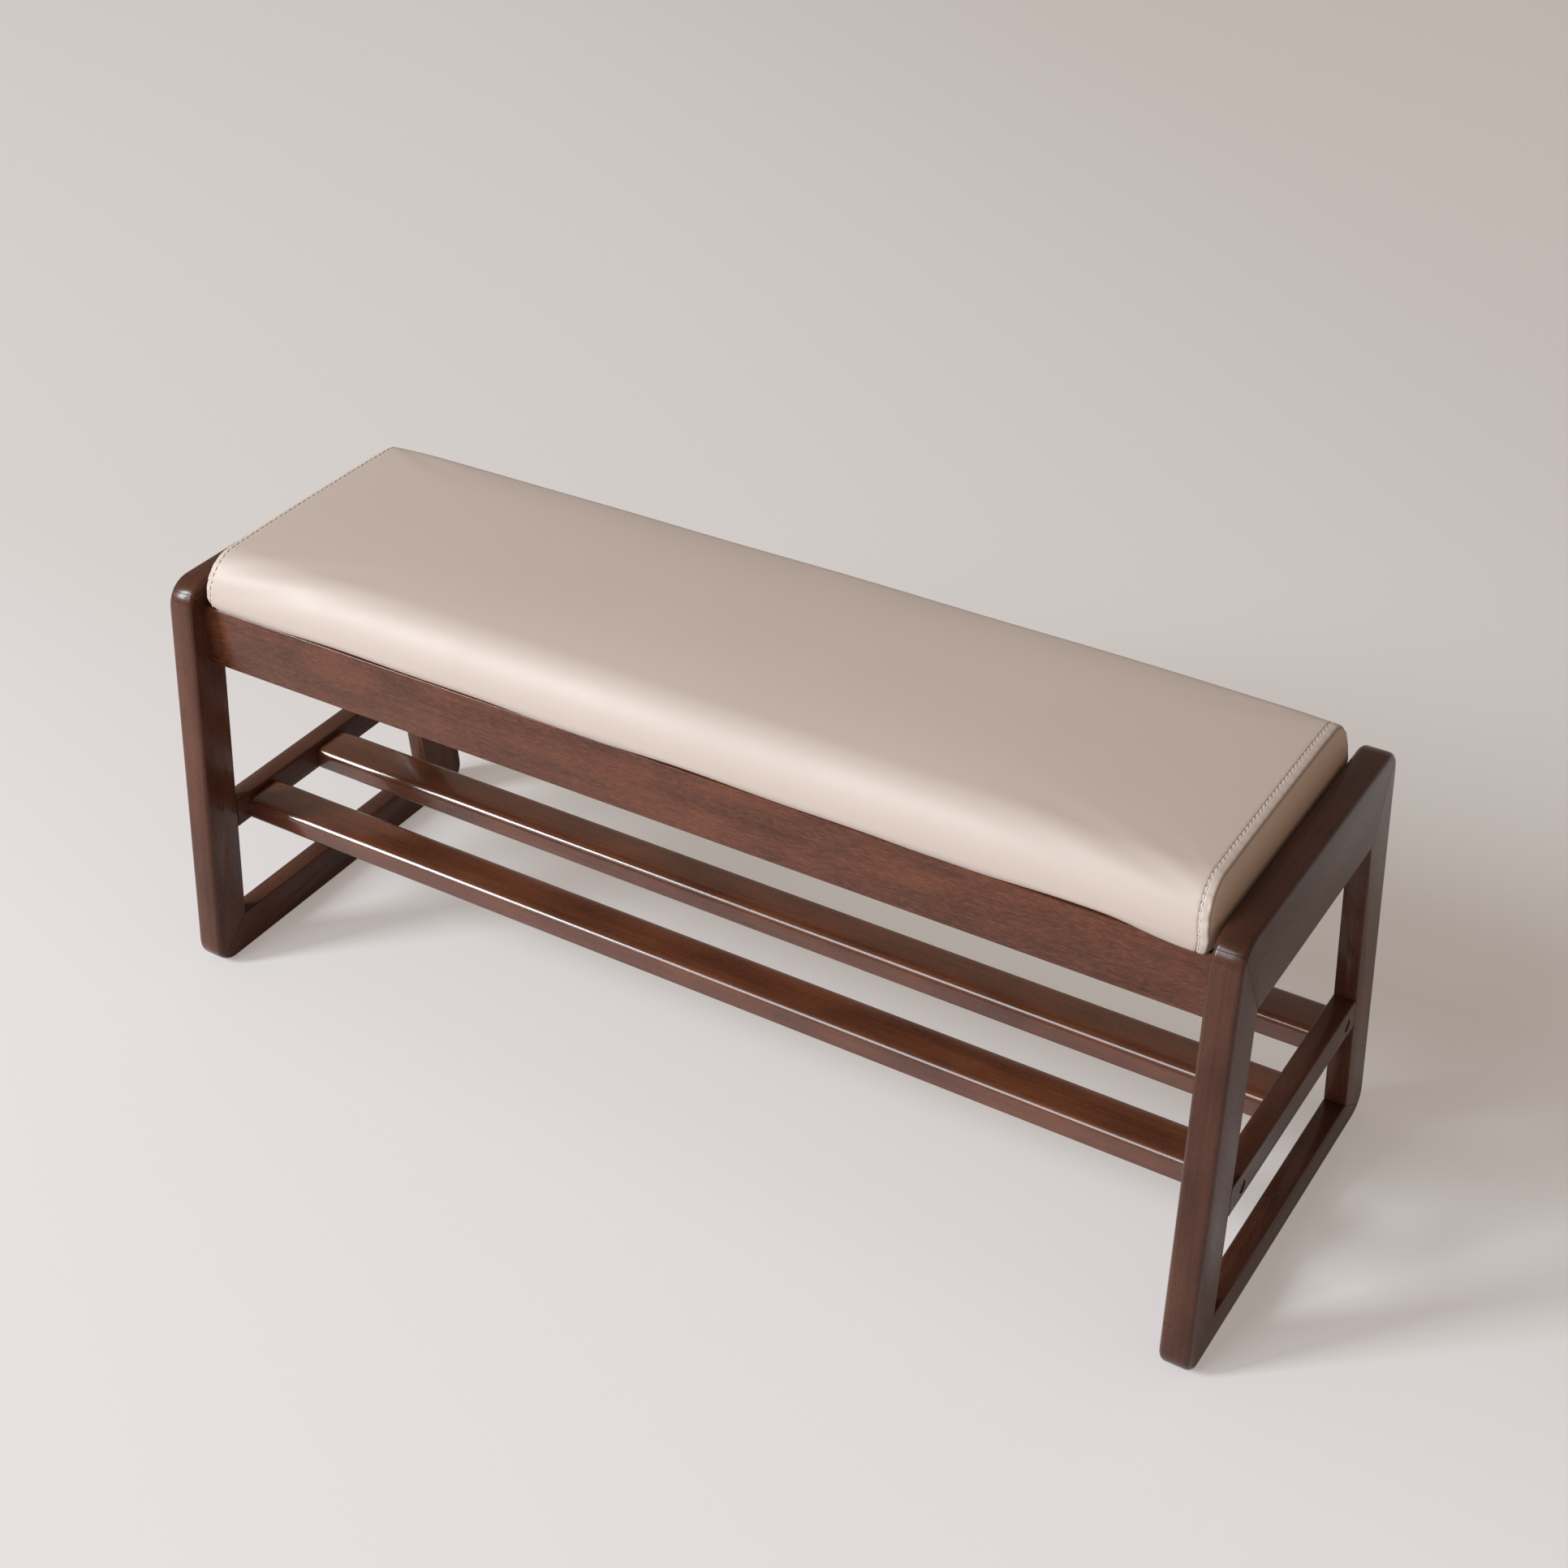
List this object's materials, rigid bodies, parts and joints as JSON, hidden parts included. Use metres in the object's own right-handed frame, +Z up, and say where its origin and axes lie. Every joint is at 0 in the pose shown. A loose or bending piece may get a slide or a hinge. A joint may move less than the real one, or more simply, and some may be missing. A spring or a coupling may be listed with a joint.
{
  "type": "shoe storage bench",
  "caption": "Storage bench with splayed wooden end frames, a padded leatherette seat on aprons and a slatted shelf for shoes below.",
  "frame": {"origin": "on the floor under the middle of the bench", "axes": "+X along the bench towards its right end, +Y from the front to the back, +Z up"},
  "size_m": [1.15, 0.4176, 0.4933],
  "materials": {
    "stained_wood": "satin lacquer",
    "plain_wood": "raw",
    "leatherette": "smooth matt",
    "foam": "open cell foam",
    "black_steel": "blackened"
  },
  "bodies": {
    "root": {"front_apron": "stained_wood", "front_slat": "stained_wood", "left_bearer": "plain_wood", "left_bottom_rail": "stained_wood", "left_front_bolt": "black_steel", "left_front_leg": "stained_wood", "left_front_lower_apron_dowel": "plain_wood", "left_front_shelf_dowel": "plain_wood", "left_front_upper_apron_dowel": "plain_wood", "left_middle_shelf_dowel": "plain_wood", "left_rear_bolt": "black_steel", "left_rear_leg": "stained_wood", "left_rear_lower_apron_dowel": "plain_wood", "left_rear_shelf_dowel": "plain_wood", "left_rear_upper_apron_dowel": "plain_wood", "left_shelf_rail": "stained_wood", "left_top_rail": "stained_wood", "middle_slat": "stained_wood", "rear_apron": "stained_wood", "rear_slat": "stained_wood", "right_bearer": "plain_wood", "right_bottom_rail": "stained_wood", "right_front_bolt": "black_steel", "right_front_leg": "stained_wood", "right_front_lower_apron_dowel": "plain_wood", "right_front_shelf_dowel": "plain_wood", "right_front_upper_apron_dowel": "plain_wood", "right_middle_shelf_dowel": "plain_wood", "right_rear_bolt": "black_steel", "right_rear_leg": "stained_wood", "right_rear_lower_apron_dowel": "plain_wood", "right_rear_shelf_dowel": "plain_wood", "right_rear_upper_apron_dowel": "plain_wood", "right_shelf_rail": "stained_wood", "right_top_rail": "stained_wood", "seat_board": "plain_wood", "seat_cover_top": "leatherette", "seat_end_panel_left": "leatherette", "seat_end_panel_right": "leatherette", "seat_foam": "foam"}
  },
  "joints": []
}
